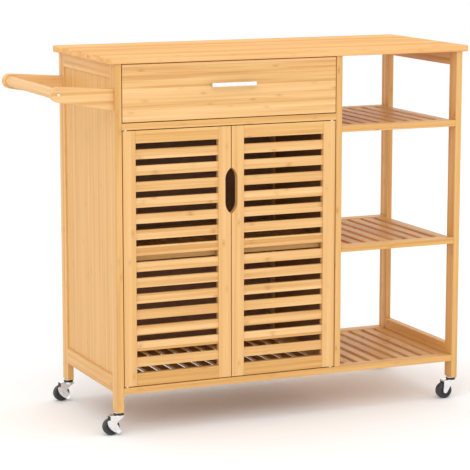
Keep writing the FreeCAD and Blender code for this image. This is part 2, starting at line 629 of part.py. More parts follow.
def runner_inner(x_face, way):
    """Drawer half: a smaller channel that opens towards the cabinet side."""
    y0, z0 = y_front + RUNNER_FRONT, z_drawer + RUNNER_RISE - INNER_RUNNER_H / 2
    x0, x1 = sorted((x_face + way * (RUNNER_W - INNER_RUNNER_W), x_face + way * RUNNER_W))
    channel = box(x0, y0, z0, x1, y0 + inner_runner_length, z0 + INNER_RUNNER_H)
    a, b = sorted((x_face + way * (RUNNER_W - INNER_RUNNER_W - 1), x_face + way * (RUNNER_W - RUNNER_SHEET)))
    return channel.cut(box(a, y0 - 1, z0 + RUNNER_SHEET, b, y0 + inner_runner_length + 1,
                           z0 + INNER_RUNNER_H - RUNNER_SHEET))


def ball_cage():
    """Strip of captive balls above and below the left inner channel."""
    middle = z_drawer + RUNNER_RISE
    inner, outer = INNER_RUNNER_H / 2, RUNNER_H / 2 - RUNNER_SHEET
    ball_r = (outer - inner) / 2 - BALL_CLEARANCE
    ball_z = (outer + inner) / 2
    ball_x = x_cabinet + RUNNER_W / 2
    y0 = y_front + RUNNER_FRONT + drawer_travel / 2 + CAGE_END_GAP
    web_x = x_cabinet + RUNNER_SHEET + CAGE_OFF_RUNNER
    rim_x = ball_x + ball_r + CAGE_RIM
    solids = [box(web_x, y0, middle - ball_z, web_x + CAGE_SHEET, y0 + CAGE_LENGTH, middle + ball_z)]
    for z in (middle - ball_z, middle + ball_z):
        solids.append(box(web_x, y0, z - CAGE_SHEET / 2, rim_x, y0 + CAGE_LENGTH, z + CAGE_SHEET / 2))
        for i in range(CAGE_BALLS):
            y = y0 + (i + 0.5) * CAGE_LENGTH / CAGE_BALLS
            solids.append(Part.makeSphere(ball_r, V(ball_x, y, z)))
    return fuse(*solids)


def drawer():
    """Front, sides, back and bottom of the drawer box, and its pull."""
    gap = DOOR_GAP
    front = board(x_cabinet + gap, y_front, z_drawer + gap,
                  x_middle - gap, y_front + BOARD, z_under_top - gap)
    x0, x1 = x_cabinet + RUNNER_W, x_middle - RUNNER_W
    y0, y1 = y_front + BOARD, y_front + BOARD + drawer_box_depth
    z0 = z_drawer + gap + DRAWER_SIDE_RISE
    z1 = z0 + DRAWER_SIDE_H
    sides = [board(x0, y0, z0, x0 + DRAWER_SIDE_T, y1, z1, 1.0),
             board(x1 - DRAWER_SIDE_T, y0, z0, x1, y1, z1, 1.0)]
    back = board(x0 + DRAWER_SIDE_T, y1 - DRAWER_SIDE_T, z0, x1 - DRAWER_SIDE_T, y1, z1, 1.0)
    inset, zb = DRAWER_SIDE_T - GROOVE_DEPTH, z0 + DRAWER_BOTTOM_RISE
    bottom = box(x0 + inset, y0 - GROOVE_DEPTH, zb, x1 - inset, y1 - inset, zb + DRAWER_BOTTOM_T)
    groove = grown(bottom, GROOVE_CLEARANCE)
    return front.cut(groove), [s.cut(groove) for s in sides], back.cut(groove), bottom


def pull_height():
    return z_under_top - DOOR_GAP - PULL_BELOW_TOP


def drawer_pull():
    """Bridge pull: a flat bar on two short legs."""
    y0 = y_front - PULL_PROUD
    z0, z1 = pull_height() - PULL_H / 2, pull_height() + PULL_H / 2
    x0, x1 = x_cabinet_mid - PULL_LENGTH / 2, x_cabinet_mid + PULL_LENGTH / 2
    bar = box(x0, y0, z0, x1, y0 + PULL_BAR_T, z1)
    legs = [box(x - PULL_LEG_W / 2, y0, z0, x + PULL_LEG_W / 2, y_front, z1) for x in pull_screw_places()]
    pull = fuse(bar, *legs)
    long_edges = [e for e in pull.Edges if e.BoundBox.XLength > PULL_LENGTH - 1]
    pull = pull.makeFillet(PULL_EDGE_R, long_edges)
    return cut_all(pull, pull_screw_holes())


def pull_screw_places():
    return x_cabinet_mid - PULL_CENTRES / 2, x_cabinet_mid + PULL_CENTRES / 2


def pull_screw(x):
    """Screw from inside the drawer front into a leg of the pull."""
    z, y0, y1 = pull_height(), y_front - PULL_SCREW_IN_LEG, y_front + BOARD
    shank = rod(x, y0, z, PULL_SCREW_R, y1 - y0, V(0, 1, 0))
    return fuse(shank, rod(x, y1, z, SCREW_HEAD_R, SCREW_HEAD_H, V(0, 1, 0)))


def pull_screw_holes():
    """Bores for the pull's screws, through the drawer front and into the legs."""
    z, y0, y1 = pull_height(), y_front - PULL_SCREW_IN_LEG - 1, y_front + BOARD + 1
    return [rod(x, y0, z, PULL_SCREW_R + PULL_SCREW_CLEARANCE, y1 - y0, V(0, 1, 0))
            for x in pull_screw_places()]


def catch(x):
    """Magnetic catch under the drawer rail, behind a door."""
    y0 = y_front + BOARD + STRIKE_T + CATCH_CLEARANCE
    z1 = z_door_top
    return board(x - CATCH_W / 2, y0, z1 - CATCH_H, x + CATCH_W / 2, y0 + CATCH_D, z1, 0.8)


def shelf_pin(x_face, way, y):
    """Peg in a post that carries the inner shelf."""
    z = z_inner_shelf - SHELF_PIN_R
    return rod(x_face - way * SHELF_PIN_IN_POST, y, z, SHELF_PIN_R,
               SHELF_PIN_IN_POST + SHELF_PIN_OUT, V(way, 0, 0))


def shelf_pin_hole(x_face, way, y):
    z = z_inner_shelf - SHELF_PIN_R
    return rod(x_face + way, y, z, SHELF_PIN_R + SHELF_PIN_CLEARANCE, SHELF_PIN_IN_POST + 1.2, V(-way, 0, 0))


def build_frame():
    """Worktop, posts, rails, panels, shelves and the fixed hardware."""
    parts["worktop"] = worktop()
    panel_left = side_panel(x_left, y_front + POST_DEPTH, y_rear_post)
    partition = side_panel(x_middle, y_front + POST_DEPTH, y_rear_post)
    back = back_panel()
    parts["side_panel_left"], parts["partition_panel"], parts["back_panel"] = panel_left, partition, back
    grooves = [grown(p, GROOVE_CLEARANCE) for p in (panel_left, partition, back)]
    cuts = grooves + dowels(DOWEL_CLEARANCE)

    inserts = [caster_insert(x, y) for x, y in caster_centres().values()]
    sockets = [rod(x, y, z_leg - 1, INSERT_R, STEM_LENGTH + 1) for x, y in caster_centres().values()]
    pin_ys = (y_front + POST_DEPTH - SHELF_PIN_INSET, y_rear_post + SHELF_PIN_INSET)
    pin_sides = ((x_cabinet, 1), (x_middle, -1))
    pins = [shelf_pin(x, way, y) for x, way in pin_sides for y in pin_ys]
    pin_holes = [shelf_pin_hole(x, way, y) for x, way in pin_sides for y in pin_ys]
    for name, x in (("left", x_left), ("middle", x_middle), ("right", x_right)):
        foot = z_floor if name == "middle" else z_leg
        for side, y in (("front", y_front), ("rear", y_rear_post)):
            post = board(x, y, foot, x + BOARD, y + POST_DEPTH, z_under_top)
            parts[f"post_{side}_{name}"] = cut_all(post, cuts + sockets + pin_holes)

    on_floor = z_floor - SLAT_DROP
    parts["side_rails_left"] = group(cut_all(r, cuts) for r in side_rails(x_left, z_rail))
    parts["partition_rails"] = group(cut_all(r, cuts) for r in side_rails(x_middle, on_floor))
    parts["side_rails_right"] = group(cut_all(r, cuts) for r in side_rails(x_right, z_rail))

    rear_top = board(x_cabinet, y_back - BOARD, z_under_top - TOP_SIDE_RAIL_H, x_middle, y_back, z_under_top)
    parts["back_rail_top"] = cut_all(rear_top, cuts)

    floor_slats = slatted(x_cabinet, x_right, FLOOR_SLAT_W, z_floor)
    mortises = [grown(s, TENON_CLEARANCE) for s in floor_slats]
    pivot_xs = (x_cabinet + DOOR_GAP + PIVOT_INSET, x_middle - DOOR_GAP - PIVOT_INSET)
    front, rear = shelf_rails(x_cabinet, x_right, z_rail)
    low_pivots = [pivot_hole(x, z_floor, -1) for x in pivot_xs]
    parts["bottom_rail_front"] = cut_all(front, cuts + mortises + low_pivots)
    parts["bottom_rail_rear"] = cut_all(rear, cuts + mortises)
    parts["floor_slats"] = group(floor_slats)
    for name, z in (("middle", z_middle_shelf), ("upper", z_upper_shelf)):
        slats = slatted(x_bay, x_right, SHELF_SLAT_W, z + BOARD)
        mortises = [grown(s, TENON_CLEARANCE) for s in slats]
        rails = shelf_rails(x_bay, x_right, z)
        parts[f"{name}_shelf_rails"] = group(cut_all(r, cuts + mortises) for r in rails)
        parts[f"{name}_shelf_slats"] = group(slats)

    rail = board(x_cabinet, y_front, z_door_top, x_middle, y_front + DRAWER_RAIL_DEPTH, z_drawer)
    parts["drawer_rail_front"] = cut_all(rail, cuts + [pivot_hole(x, z_door_top, 1) for x in pivot_xs])

    shelf_rails_inside, shelf_slats_inside = inner_shelf()
    parts["inner_shelf_rails"] = group(shelf_rails_inside)
    parts["inner_shelf_slats"] = group(shelf_slats_inside)
    parts["shelf_pins"] = group(pins)
    parts["magnetic_catches"] = group(catch(x_cabinet_mid + s * CATCH_FROM_MIDDLE) for s in (-1, 1))
    parts["drawer_runners_outer"] = group([runner_outer(x_cabinet, 1), runner_outer(x_middle, -1)])
    parts["caster_inserts"] = group(inserts)
    parts["caster_stems"] = group(caster_stem(x, y) for x, y in caster_centres().values())
    parts["dowels"] = group(dowels())


def build_handle():
    """Two arms, the bar between them and the screws that hold it."""
    bar_x, bar_z = handle_places()[:2]
    inset = (POST_DEPTH - BOARD) / 2
    y_arm_front, y_arm_rear = y_front + inset, y_rear_post + inset
    y_far = y_arm_rear + BOARD
    holes = [handle_screw_hole(y_arm_front, 1), handle_screw_hole(y_far, -1)]
    parts["handle_arm_front"] = cut_all(handle_arm(y_arm_front, 1), holes)
    parts["handle_arm_rear"] = cut_all(handle_arm(y_arm_rear, -1), holes)
    y0, y1 = y_arm_front + BOARD - BAR_SOCKET, y_arm_rear + BAR_SOCKET
    parts["handle_bar"] = cut_all(rod(bar_x, y0, bar_z, BAR_R, y1 - y0, V(0, 1, 0)), holes)
    parts["handle_screws"] = group([handle_screw(y_arm_front, 1), handle_screw(y_far, -1)])


def build_drawer():
    """The drawer box, its pull and the moving halves of the runners."""
    front, sides, back, bottom = drawer()
    parts["drawer_front"] = cut_all(front, pull_screw_holes())
    parts["drawer_sides"] = group(sides)
    parts["drawer_back"] = back
    parts["drawer_bottom"] = bottom
    parts["drawer_pull"] = drawer_pull()
    parts["drawer_pull_screws"] = group(pull_screw(x) for x in pull_screw_places())
    parts["drawer_runners_inner"] = group([runner_inner(x_cabinet, 1), runner_inner(x_middle, -1)])
    cage = ball_cage()
    parts["runner_ball_cages"] = group([cage, cage.mirror(V(x_cabinet_mid, 0, 0), V(1, 0, 0))])


def build_doors():
    """Both louvred doors with their pivots and strike plates."""
    for name, x_hinge, way in (("left", x_cabinet + DOOR_GAP, 1), ("right", x_middle - DOOR_GAP, -1)):
        stiles, rails, louvres, hardware = door(x_hinge, way)
        parts[f"door_{name}_stiles"] = group(stiles)
        parts[f"door_{name}_rails"] = group(rails)
        parts[f"door_{name}_slats"] = group(louvres)
        parts[f"door_{name}_hardware"] = group(hardware)


def build_casters():
    """Four swivel casters; the two at the handle end have side brakes."""
    for name, (x, y) in caster_centres().items():
        braked = name.endswith("left")
        parts[f"caster_fork_{name}"] = group(caster_fork(x, y, braked))
        parts[f"caster_wheel_{name}"] = caster_wheel(x, y)
        if braked:
            parts[f"caster_brake_{name}"] = caster_brake(x, y)


build_frame()
build_handle()
build_drawer()
build_doors()
build_casters()

os.makedirs("parts", exist_ok=True)
for name, shape in parts.items():
    shape.exportStep(f"parts/{name}.step")
print(len(parts), "nodes written")
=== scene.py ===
"""Rolling utility cart: the finish of every piece, small hardware, floor, light and camera. Metres."""

import json
import math

import bmesh
import bpy
from mathutils import Matrix, Vector


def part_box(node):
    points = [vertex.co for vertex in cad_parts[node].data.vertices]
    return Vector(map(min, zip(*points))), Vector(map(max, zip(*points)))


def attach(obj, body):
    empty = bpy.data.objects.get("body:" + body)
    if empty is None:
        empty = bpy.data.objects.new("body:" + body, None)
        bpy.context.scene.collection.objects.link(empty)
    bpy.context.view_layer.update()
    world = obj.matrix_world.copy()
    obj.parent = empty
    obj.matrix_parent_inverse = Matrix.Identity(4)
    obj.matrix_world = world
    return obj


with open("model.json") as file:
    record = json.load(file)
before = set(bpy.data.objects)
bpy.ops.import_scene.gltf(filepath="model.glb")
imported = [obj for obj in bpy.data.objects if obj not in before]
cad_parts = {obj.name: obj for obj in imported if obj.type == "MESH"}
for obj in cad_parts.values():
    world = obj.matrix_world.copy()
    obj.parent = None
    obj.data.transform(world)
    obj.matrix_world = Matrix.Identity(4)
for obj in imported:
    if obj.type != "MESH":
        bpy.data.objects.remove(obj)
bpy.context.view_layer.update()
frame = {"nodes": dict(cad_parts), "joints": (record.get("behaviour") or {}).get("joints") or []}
nodes = frame["nodes"]
pivots = {joint["name"]: Vector(joint["pos_m"]) for joint in frame["joints"] if "pos_m" in joint}
CORNERS = ("front_left", "front_right", "rear_left", "rear_right")
BRAKED_CORNERS = ("front_left", "rear_left")


# ---------------------------------------------------------------- node trees

class Tree:
    """A shader or group node tree that is built one node at a time."""

    def __init__(self, tree):
        self.tree = tree

    def add(self, kind, inputs=None, **settings):
        """A node, with its settings and with values or links on its inputs."""
        node = self.tree.nodes.new(kind)
        for name, value in settings.items():
            setattr(node, name, value)
        for key, value in (inputs or {}).items():
            if isinstance(value, bpy.types.NodeSocket):
                self.tree.links.new(value, node.inputs[key])
            else:
                node.inputs[key].default_value = value
        return node

    def math(self, operation, a, b=0.0, c=0.0, clamp=False):
        """One arithmetic step on up to three values."""
        return self.add("ShaderNodeMath", {0: a, 1: b, 2: c}, operation=operation, use_clamp=clamp).outputs[0]

    def centred(self, value, weight):
        """A value from 0 to 1, moved to lie about 0 and weighted."""
        return self.math("MULTIPLY", self.math("SUBTRACT", value, 0.5), weight)

    def mix(self, factor, a, b, blend="MIX"):
        """A colour between two colours."""
        node = self.add("ShaderNodeMix", data_type="RGBA", blend_type=blend)
        for socket, value in ((node.inputs[0], factor), (node.inputs[6], a), (node.inputs[7], b)):
            if isinstance(value, bpy.types.NodeSocket):
                self.tree.links.new(value, socket)
            else:
                socket.default_value = value
        return node.outputs[2]

    def spread(self, value, from_low, from_high, to_low=0.0, to_high=1.0, smooth=False):
        """A value taken from one range to another, held inside it."""
        node = self.add("ShaderNodeMapRange", {0: value, 1: from_low, 2: from_high, 3: to_low, 4: to_high},
                        interpolation_type="SMOOTHSTEP" if smooth else "LINEAR")
        return node.outputs[0]

    def noise(self, vector, scale, detail=2.0, rough=0.5):
        """Cloudy noise from 0 to 1."""
        return self.add("ShaderNodeTexNoise", {"Vector": vector, "Scale": scale, "Detail": detail,
                                               "Roughness": rough, "Distortion": 0.0}).outputs[0]

    def stretched(self, vector, along, across, through):
        """Coordinates scaled differently along, across and through the grain."""
        scale = (along, across, through)
        return self.add("ShaderNodeMapping", {"Vector": vector, "Scale": scale}).outputs[0]


def new_group(name, inputs, outputs):
    """An empty node group with named sockets, and its input and output nodes."""
    tree = bpy.data.node_groups.new(name, "ShaderNodeTree")
    for socket, kind, default in inputs:
        made = tree.interface.new_socket(socket, in_out="INPUT", socket_type=kind)
        if default is not None:
            made.default_value = default
    for socket, kind in outputs:
        tree.interface.new_socket(socket, in_out="OUTPUT", socket_type=kind)
    build = Tree(tree)
    return build, build.add("NodeGroupInput").outputs, build.add("NodeGroupOutput").inputs


COLOR, FLOAT, VECTOR = "NodeSocketColor", "NodeSocketFloat", "NodeSocketVector"


# Noise per metre along, across and through the grain
DRIFT = (2.2, 20, 20)
FINE_FIBRES = (7, 900, 900)
BROAD_FIBRES = (3.5, 210, 210)
KNUCKLE_WOBBLE = (20, 160, 160)
KNUCKLE_SPECKS = (60, 700, 700)

# What the chance of each strip, the drift and the fibres add to the tone
STRIP_WEIGHT, DRIFT_WEIGHT, BROAD_WEIGHT, FINE_WEIGHT = 0.55, 1.1, 0.9, 0.55

KNUCKLES_PER_METRE = 2.9
KNUCKLE_STAGGER = 9.0                 # how far strips are shifted against each other, in knuckles
WOBBLE_WEIGHT = 0.03
BAND_FADE = (0.004, 0.045)            # soft band beside a knuckle, as shares of the knuckles' spacing
LINE_FADE = (0.001, 0.008)            # darker line at its middle
BAND_WEIGHT, LINE_WEIGHT = 0.34, 0.22
SHOWN_STRIPS = (0.45, 0.95)           # chance above which a strip's knuckles begin to show, then are full
GLUE_FADE = (0.470, 0.497)            # glue line, as shares of a strip from its middle
GLUE_WEIGHT = 0.16
BROWNING = (0.62, 0.48, 0.32, 1)      # knuckles and glue lines against the dark tone


def bamboo_group():
    """Laminated bamboo. The grain runs along the vector's X; strips lie side by side in Y and plies in Z."""
    t, i, o = new_group("laminated bamboo", [
        ("Vector", VECTOR, None), ("Light", COLOR, None), ("Middle", COLOR, None), ("Dark", COLOR, None),
        ("Strip", FLOAT, 0.018), ("Ply", FLOAT, 0.006), ("Contrast", FLOAT, 1.0), ("Nodes", FLOAT, 1.0)],
        [("Color", COLOR), ("Rough", FLOAT), ("Height", FLOAT)])
    parts = t.add("ShaderNodeSeparateXYZ", {0: i["Vector"]}).outputs
    strip_at = t.math("DIVIDE", parts["Y"], i["Strip"])
    ply_at = t.math("DIVIDE", parts["Z"], i["Ply"])
    strip, ply = t.math("FLOOR", strip_at), t.math("FLOOR", ply_at)
    cell = t.add("ShaderNodeCombineXYZ", {"X": strip, "Y": ply}).outputs[0]
    chance = t.add("ShaderNodeTexWhiteNoise", {"Vector": cell}, noise_dimensions="3D").outputs
    pick = t.add("ShaderNodeSeparateColor", {0: chance["Color"]}).outputs

    # tone: each strip has its own, drifts slowly along it and is streaked with fibres
    shifted = t.add("ShaderNodeVectorMath", {0: i["Vector"], 1: chance["Color"]}, operation="ADD").outputs[0]
    drift = t.noise(t.stretched(shifted, *DRIFT), 1.0)
    fine = t.noise(t.stretched(shifted, *FINE_FIBRES), 1.0, 3.0, 0.6)
    broad = t.noise(t.stretched(shifted, *BROAD_FIBRES), 1.0)
    tone = t.math("ADD", t.centred(chance["Value"], STRIP_WEIGHT), t.centred(drift, DRIFT_WEIGHT))
    tone = t.math("ADD", tone, t.centred(broad, BROAD_WEIGHT))
    tone = t.math("ADD", tone, t.centred(fine, FINE_WEIGHT))
    tone = t.math("MULTIPLY_ADD", tone, i["Contrast"], 0.5, clamp=True)

    # knuckles: a short brown band across a strip, at its own place on each strip
    wobble = t.centred(t.noise(t.stretched(shifted, *KNUCKLE_WOBBLE), 1.0), WOBBLE_WEIGHT)
    stagger = t.math("MULTIPLY", pick["Red"], KNUCKLE_STAGGER)
    phase = t.math("ADD", t.math("MULTIPLY_ADD", parts["X"], KNUCKLES_PER_METRE, stagger), wobble)
    away = t.math("ABSOLUTE", t.math("SUBTRACT", t.math("FRACT", phase), 0.5))
    band = t.spread(away, *BAND_FADE, 1.0, 0.0, smooth=True)
    line = t.spread(away, *LINE_FADE, 1.0, 0.0, smooth=True)
    shown = t.math("MULTIPLY", t.spread(pick["Green"], *SHOWN_STRIPS), i["Nodes"])
    marked = t.math("MULTIPLY_ADD", line, LINE_WEIGHT, t.math("MULTIPLY", band, BAND_WEIGHT))
    speck = t.spread(t.noise(t.stretched(shifted, *KNUCKLE_SPECKS), 1.0), 0.35, 0.65)
    speckled = t.math("MULTIPLY_ADD", speck, 0.5, 0.6)
    knuckle = t.math("MULTIPLY", t.math("MULTIPLY", marked, shown), speckled, clamp=True)

    # thin glue lines between strips
    edge = t.math("ABSOLUTE", t.math("SUBTRACT", t.math("FRACT", strip_at), 0.5))
    glue = t.spread(edge, *GLUE_FADE, smooth=True)

    low = t.mix(t.spread(tone, 0.0, 0.5), i["Dark"], i["Middle"])
    color = t.mix(t.spread(tone, 0.5, 1.0), low, i["Light"])
    brown = t.mix(1.0, i["Dark"], BROWNING, blend="MULTIPLY")
    color = t.mix(knuckle, color, brown)
    color = t.mix(t.math("MULTIPLY", glue, GLUE_WEIGHT), color, brown)
    t.tree.links.new(color, o["Color"])
    rough = t.math("ADD", t.spread(fine, 0.3, 0.7, 0.40, 0.52), t.math("MULTIPLY", knuckle, 0.15))
    t.tree.links.new(rough, o["Rough"])
    fibres = t.math("MULTIPLY_ADD", fine, 0.55, t.math("MULTIPLY", broad, 0.25))
    grooves = t.math("MULTIPLY_ADD", glue, 0.5, t.math("MULTIPLY", line, 0.3))
    t.tree.links.new(t.math("SUBTRACT", fibres, grooves), o["Height"])
    return t.tree


# Noise of the handling marks: the grit is finer than the smears, and both make one mask
GRIT_FINENESS = 14.0
SMEAR_SHARE, GRIT_SHARE = 0.75, 0.25


def marks_group():
    """Uneven sheen: faint smears and fine scratches, for metal, plastic and rubber."""
    t, i, o = new_group("handling marks", [
        ("Vector", VECTOR, None), ("Scale", FLOAT, 60.0), ("Low", FLOAT, 0.2), ("High", FLOAT, 0.4)],
        [("Rough", FLOAT), ("Mask", FLOAT), ("Height", FLOAT)])
    smear = t.noise(i["Vector"], i["Scale"], 4.0, 0.6)
    grit = t.noise(i["Vector"], t.math("MULTIPLY", i["Scale"], GRIT_FINENESS), 2.0, 0.6)
    mask = t.math("ADD", t.math("MULTIPLY", smear, SMEAR_SHARE), t.math("MULTIPLY", grit, GRIT_SHARE))
    t.tree.links.new(t.spread(mask, 0.35, 0.65, i["Low"], i["High"]), o["Rough"])
    t.tree.links.new(mask, o["Mask"])
    t.tree.links.new(grit, o["Height"])
    return t.tree


BAMBOO, MARKS = bamboo_group(), marks_group()


def new_material(name):
    """A material with an empty Principled shader and its Object coordinates."""
    material = bpy.data.materials.new(name)
    material.use_nodes = True
    material.node_tree.nodes.clear()
    t = Tree(material.node_tree)
    shader = t.add("ShaderNodeBsdfPrincipled")
    out = t.add("ShaderNodeOutputMaterial")
    t.tree.links.new(shader.outputs[0], out.inputs[0])
    place = t.add("ShaderNodeTexCoord").outputs["Object"]
    return material, t, shader, place


def bump(t, shader, height, strength, distance):
    """Fine relief on a shader."""
    node = t.add("ShaderNodeBump", {"Height": height, "Strength": strength, "Distance": distance})
    t.tree.links.new(node.outputs[0], shader.inputs["Normal"])


def handling_marks(t, place, scale, low, high):
    """The outputs of the handling marks: how rough, where worn and how high."""
    marks = t.add("ShaderNodeGroup", node_tree=MARKS)
    for socket, value in (("Scale", scale), ("Low", low), ("High", high)):
        marks.inputs[socket].default_value = value
    t.tree.links.new(place, marks.inputs["Vector"])
    return marks.outputs


GRAIN_TURN = {"x": (0, 0, 0), "y": (0, 0, -math.pi / 2), "z": (0, math.pi / 2, 0)}
WARM = ((0.820, 0.520, 0.240, 1), (0.735, 0.430, 0.168, 1), (0.590, 0.300, 0.092, 1))
ROSY = ((0.845, 0.520, 0.240, 1), (0.770, 0.430, 0.170, 1), (0.660, 0.335, 0.112, 1))
AMBER = ((0.770, 0.465, 0.185, 1), (0.690, 0.385, 0.128, 1), (0.550, 0.270, 0.072, 1))
# Bamboo tones for the shelf and floor slats. The grain is the bamboo's own; the extra darkness and orange
# depth is painted shade and painted bounced light of the shelves and the cabinet.
SHADED_SLAT_TONES = ((0.660, 0.370, 0.120, 1), (0.580, 0.290, 0.080, 1), (0.460, 0.200, 0.050, 1))
# Painted shade: a dark brown laid over the bamboo of the side panel and the partition where they face into
# the cabinet, standing in for the shade inside it. The next lines give how much of the bamboo it covers, and
# for each panel the X where it begins and where it is full.
PAINTED_SHADE = (0.300, 0.140, 0.068, 1)
PAINTED_SHADE_COVER = 0.85
SIDE_PANEL_SHADE_X, PARTITION_SHADE_X = (-0.3797, -0.3793), (0.1855, 0.1851)


def bamboo(name, axis, colors=WARM, strip=0.018, ply=0.0065, contrast=1.0, knuckles=1.0, shift=(0, 0, 0),
           sheen=0.25, painted_shade_x=None):
    """Lacquered laminated bamboo with its grain along an axis.

    painted_shade_x holds two places along X: painted shade, a dark brown on the faces that look into the
    cabinet standing in for the shade in there, begins at the first and is full from the second on.
    """
    material, t, shader, place = new_material(name)
    turned = t.add("ShaderNodeMapping", {"Vector": place, "Location": shift, "Rotation": GRAIN_TURN[axis]})
    grain = t.add("ShaderNodeGroup", node_tree=BAMBOO)
    t.tree.links.new(turned.outputs[0], grain.inputs["Vector"])
    for socket, color in zip(("Light", "Middle", "Dark"), colors):
        grain.inputs[socket].default_value = color
    for socket, value in (("Strip", strip), ("Ply", ply), ("Contrast", contrast), ("Nodes", knuckles)):
        grain.inputs[socket].default_value = value
    color = grain.outputs["Color"]
    # painted shade: dark brown over the faces that look into the cabinet
    if painted_shade_x:
        at = t.add("ShaderNodeSeparateXYZ", {0: place}).outputs["X"]
        color = t.mix(t.spread(at, *painted_shade_x), color, t.mix(PAINTED_SHADE_COVER, color, PAINTED_SHADE))
    t.tree.links.new(color, shader.inputs["Base Color"])
    t.tree.links.new(grain.outputs["Rough"], shader.inputs["Roughness"])
    shader.inputs["Coat Weight"].default_value = 0.05
    shader.inputs["Coat Roughness"].default_value = 0.30
    shader.inputs["Specular IOR Level"].default_value = sheen
    bump(t, shader, grain.outputs["Height"], 0.35, 0.0002)
    return material


METAL_SMEARS, POLYMER_SMEARS = 60.0, 90.0      # smears per metre
METAL_SHADE = 0.82                             # worn metal against clean metal


def metal(name, color, low, high, brushed=None):
    """Plated or brushed metal. brushed is the noise per metre along X, Y and Z."""
    material, t, shader, place = new_material(name)
    marks = handling_marks(t, place, METAL_SMEARS, low, high)
    shader.inputs["Metallic"].default_value = 1.0
    dark = tuple(c * METAL_SHADE for c in color[:3]) + (1,)
    t.tree.links.new(t.mix(t.spread(marks["Mask"], 0.35, 0.7), color, dark), shader.inputs["Base Color"])
    t.tree.links.new(marks["Rough"], shader.inputs["Roughness"])
    height = t.noise(t.stretched(place, *brushed), 1.0, 2.0, 0.6) if brushed else marks["Height"]
    bump(t, shader, height, 0.12, 0.00008)
    return material


def polymer(name, color, low, high):
    """Rubber or moulded plastic with a fine grain."""
    material, t, shader, place = new_material(name)
    marks = handling_marks(t, place, POLYMER_SMEARS, low, high)
    pale = tuple(min(1.0, c * 1.35 + 0.01) for c in color[:3]) + (1,)
    t.tree.links.new(t.mix(t.spread(marks["Mask"], 0.4, 0.75), color, pale), shader.inputs["Base Color"])
    t.tree.links.new(marks["Rough"], shader.inputs["Roughness"])
    shader.inputs["Specular IOR Level"].default_value = 0.4
    bump(t, shader, marks["Height"], 0.25, 0.00015)
    return material


# Dark and light fibres of the hardboard. On the back panel this dark brown is also painted shade for the
# inside of the cabinet.
HARDBOARD_AND_SHADE_DARK, HARDBOARD_AND_SHADE_LIGHT = (0.240, 0.110, 0.052, 1), (0.345, 0.165, 0.082, 1)


def hardboard_and_painted_shade():
    """Dark brown fibreboard: pressed fibres, smooth side with a soft sheen. On the back panel its dark brown
    is also painted shade, standing in for the shade inside the cabinet.
    """
    material, t, shader, place = new_material("dark hardboard")
    fibres = t.noise(t.stretched(place, 240, 900, 240), 1.0, 4.0, 0.65)
    cloud = t.noise(place, 9.0, 3.0, 0.55)
    mask = t.math("MULTIPLY_ADD", fibres, 0.6, t.math("MULTIPLY", cloud, 0.4))
    color = t.mix(t.spread(mask, 0.35, 0.65), HARDBOARD_AND_SHADE_DARK, HARDBOARD_AND_SHADE_LIGHT)
    t.tree.links.new(color, shader.inputs["Base Color"])
    t.tree.links.new(t.spread(fibres, 0.3, 0.7, 0.5, 0.68), shader.inputs["Roughness"])
    bump(t, shader, fibres, 0.3, 0.0002)
    return material


MATERIALS = {
    "front_x": bamboo("bamboo boards along the front", "x", strip=0.0185, contrast=1.15, knuckles=0.8,
                      shift=(0.31, 0.004, 0)),
    "rails_x": bamboo("bamboo rails lengthways", "x", AMBER, strip=0.008, ply=0.0065),
    "slats_x": bamboo("bamboo louvre slats", "x", strip=0.0115, ply=0.0115, contrast=1.1, shift=(0.17, 0, 0)),
    "posts_z": bamboo("bamboo posts", "z", AMBER, strip=0.0065, ply=0.0065),
    "stiles_z": bamboo("bamboo door stiles", "z", strip=0.0065, ply=0.008, contrast=0.7, shift=(0, 0, 0.23)),
    # side panel and partition: bamboo with painted shade on their faces inside the cabinet
    "panel_left": bamboo("bamboo side panel", "z", AMBER, strip=0.0072, ply=0.0072, contrast=0.6,
                         knuckles=0.5, painted_shade_x=SIDE_PANEL_SHADE_X),
    "panel_middle": bamboo("bamboo partition", "z", AMBER, strip=0.0072, ply=0.0072, contrast=0.6,
                           knuckles=0.5, painted_shade_x=PARTITION_SHADE_X),
    "rails_y": bamboo("bamboo rails front to back", "y", AMBER, strip=0.0085, ply=0.0085),
    # shelf and floor slats: bamboo darkened with painted shade
    "shaded_slats_y": bamboo("bamboo shelf slats with painted shade", "y", SHADED_SLAT_TONES, strip=0.0126, ply=0.008),
    "top_x": bamboo("bamboo worktop", "x", ROSY, strip=0.022, ply=0.008, knuckles=0.6, sheen=0.0),
    "arms_x": bamboo("bamboo handle arms", "x", strip=0.0065, ply=0.008),
    "bar_y": bamboo("turned bamboo handle bar", "y", strip=0.006, ply=0.006, contrast=0.7),
    # dark hardboard for the drawer bottom and the back panel; on the back panel its tone is painted shade
    "hardboard_and_painted_shade": hardboard_and_painted_shade(),
    "zinc": metal("bright zinc plate", (0.88, 0.89, 0.90, 1), 0.18, 0.36),
    "runner": metal("runner steel", (0.62, 0.64, 0.66, 1), 0.26, 0.42, brushed=(2600, 40, 2600)),
    "pull": metal("brushed steel pull", (0.94, 0.94, 0.94, 1), 0.22, 0.36, brushed=(30, 2600, 2600)),
    "rubber": polymer("dark grey wheel rubber", (0.030, 0.031, 0.034, 1), 0.45, 0.65),
    "plastic": polymer("ivory catch plastic", (0.72, 0.70, 0.64, 1), 0.35, 0.5),
}

